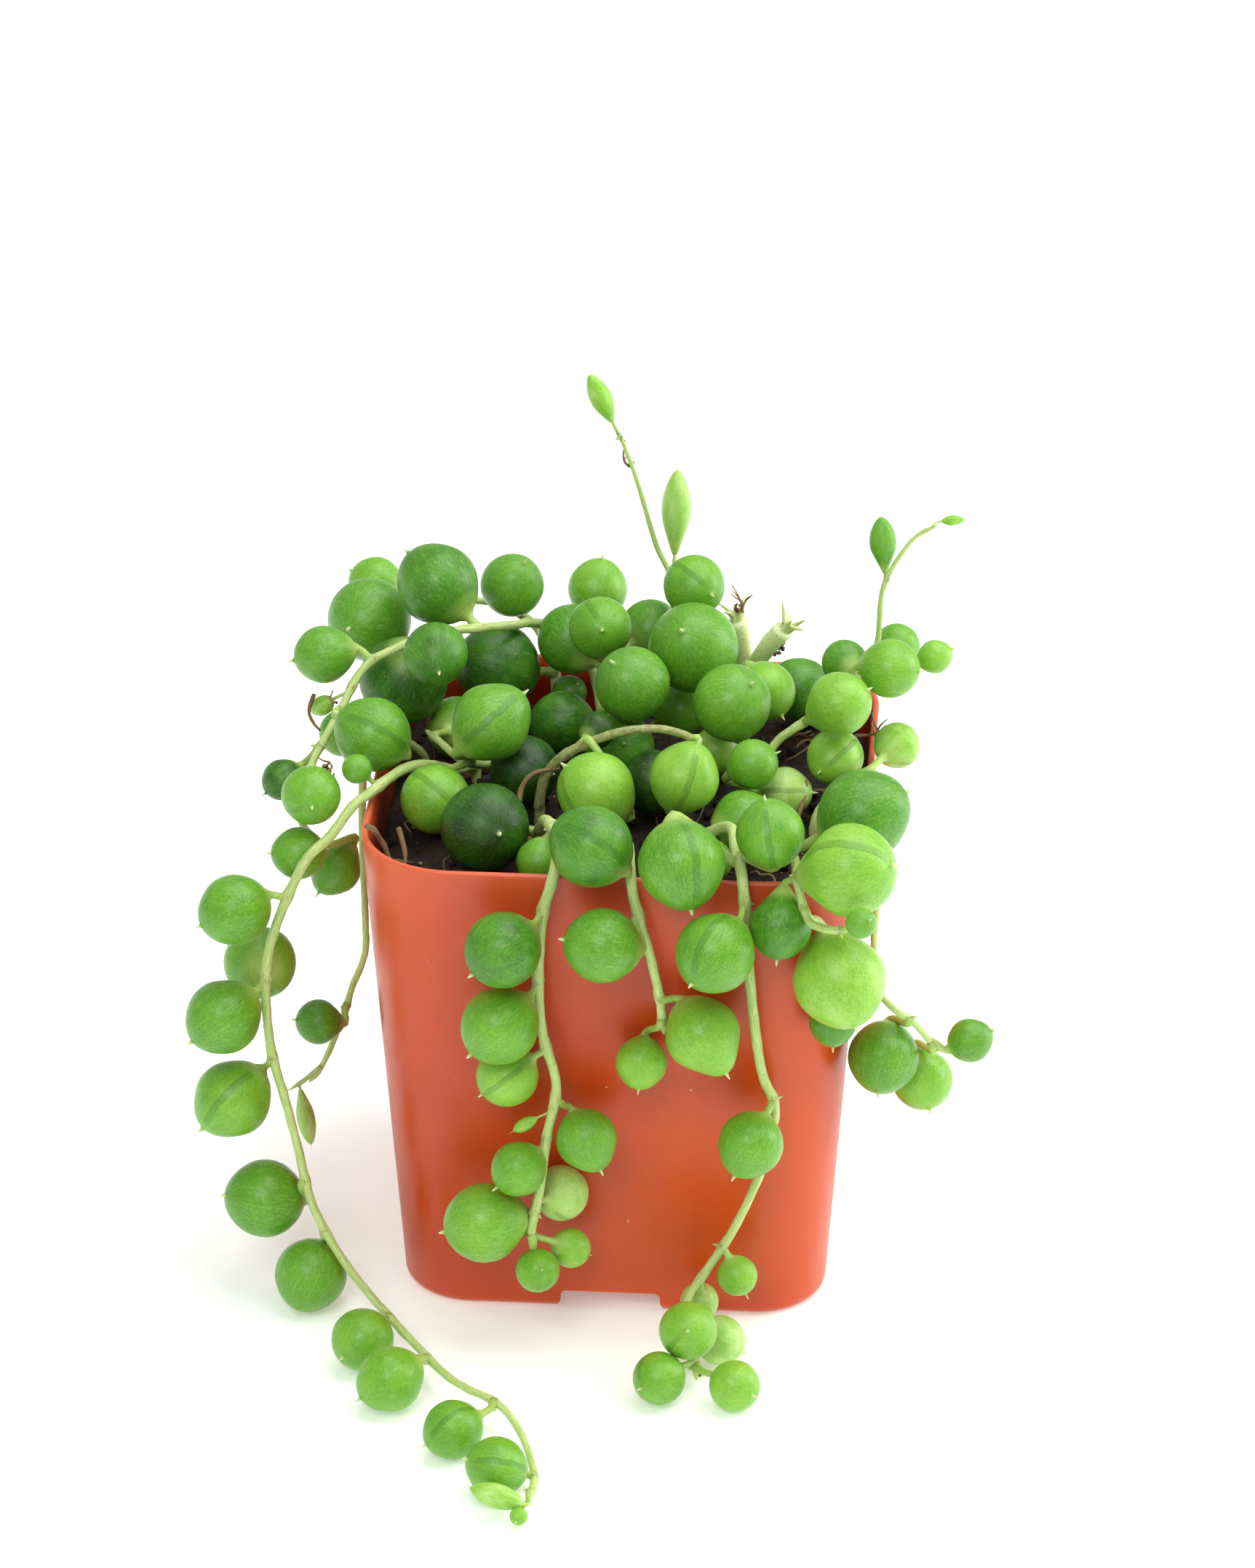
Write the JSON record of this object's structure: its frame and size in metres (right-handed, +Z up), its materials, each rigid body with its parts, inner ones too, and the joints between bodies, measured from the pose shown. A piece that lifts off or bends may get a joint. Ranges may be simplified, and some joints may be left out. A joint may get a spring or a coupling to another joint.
{
  "type": "potted string of pearls",
  "caption": "Trailing succulent with round bead-like leaves on thin stems, growing in a small square plastic nursery pot.",
  "frame": {"origin": "centre of the whole plant's bounding box on the floor that the pot stands on", "axes": "+Z up, -Y towards the front face of the pot, where most strands hang; the pot's sides lie along X and Y"},
  "size_m": [0.0912, 0.108, 0.0977],
  "materials": {
    "pot_plastic": "terracotta-orange injection-moulded plastic, smooth satin, slightly translucent at the lit side",
    "peat_soil": "moist dark peat with fine fibres and crumbs, fully matt",
    "stem_green": "pale green succulent stem with brown nodes, soft satin",
    "pearl_green": "waxy green leaf skin, satin, with a darker translucent stripe and fine pale streaks"
  },
  "bodies": {
    "root": {"pearl_back_left_1": "pearl_green", "pearl_back_trail_1": "pearl_green", "pearl_centre_1": "pearl_green", "pearl_centre_2": "pearl_green", "pearl_centre_arch_1": "pearl_green", "pearl_centre_arch_2": "pearl_green", "pearl_centre_right_1": "pearl_green", "pearl_centre_right_2": "pearl_green", "pearl_front_left_1": "pearl_green", "pearl_front_left_2": "pearl_green", "pearl_front_left_3": "pearl_green", "pearl_front_left_4": "pearl_green", "pearl_front_left_5": "pearl_green", "pearl_front_left_6": "pearl_green", "pearl_front_middle_1": "pearl_green", "pearl_front_middle_2": "pearl_green", "pearl_front_right_1": "pearl_green", "pearl_front_right_2": "pearl_green", "pearl_front_right_3": "pearl_green", "pearl_front_right_4": "pearl_green", "pearl_left_arch_1": "pearl_green", "pearl_left_arch_2": "pearl_green", "pearl_left_arch_3": "pearl_green", "pearl_left_arch_4": "pearl_green", "pearl_left_trail_1": "pearl_green", "pearl_left_trail_2": "pearl_green", "pearl_left_trail_3": "pearl_green", "pearl_left_trail_4": "pearl_green", "pearl_left_trail_5": "pearl_green", "pearl_left_trail_6": "pearl_green", "pearl_left_trail_7": "pearl_green", "pearl_mid_left_1": "pearl_green", "pearl_mid_left_2": "pearl_green", "pearl_right_crown_1": "pearl_green", "pearl_right_crown_2": "pearl_green", "pearl_right_crown_3": "pearl_green", "pearl_right_crown_4": "pearl_green", "pearl_right_front_1": "pearl_green", "pearl_right_front_2": "pearl_green", "pearl_right_front_3": "pearl_green", "pearl_right_rear_1": "pearl_green", "pot": "pot_plastic", "soil": "peat_soil", "stem_back_left": "stem_green", "stem_back_trail": "stem_green", "stem_centre": "stem_green", "stem_centre_arch": "stem_green", "stem_centre_right": "stem_green", "stem_cut_stubs": "stem_green", "stem_front_left": "stem_green", "stem_front_middle": "stem_green", "stem_front_right": "stem_green", "stem_left_arch": "stem_green", "stem_left_rear": "stem_green", "stem_left_trail": "stem_green", "stem_mid_left": "stem_green", "stem_right_crown": "stem_green", "stem_right_front": "stem_green", "stem_right_rear": "stem_green"}
  },
  "joints": []
}
